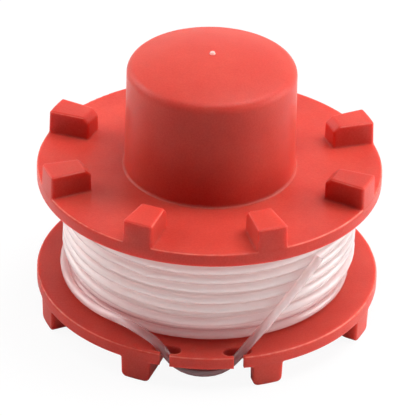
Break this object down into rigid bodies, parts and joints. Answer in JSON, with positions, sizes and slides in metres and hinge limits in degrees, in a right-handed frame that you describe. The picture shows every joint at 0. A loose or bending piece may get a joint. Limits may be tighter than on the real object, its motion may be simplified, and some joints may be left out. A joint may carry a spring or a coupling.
{
  "type": "trimmer line spool",
  "caption": "Moulded bobbin with a closed bump knob, rim lugs on both flanges and a hollow underside, wound with cutting line whose free end is hooked through notches in the lower rim.",
  "frame": {"origin": "centre of the plane that the lower lugs stand on", "axes": "+Z is the spool's axis and points out of the bump knob; -Y is the side of the two line notches; +X completes the right-handed frame"},
  "size_m": [0.062, 0.062, 0.0509],
  "materials": {
    "red_plastic": "injection-moulded red plastic with a satin surface",
    "nylon_line": "milky, slightly translucent round nylon line"
  },
  "bodies": {
    "root": {"spool_body": "red_plastic", "line_winding": "nylon_line", "line_tail": "nylon_line"}
  },
  "joints": []
}
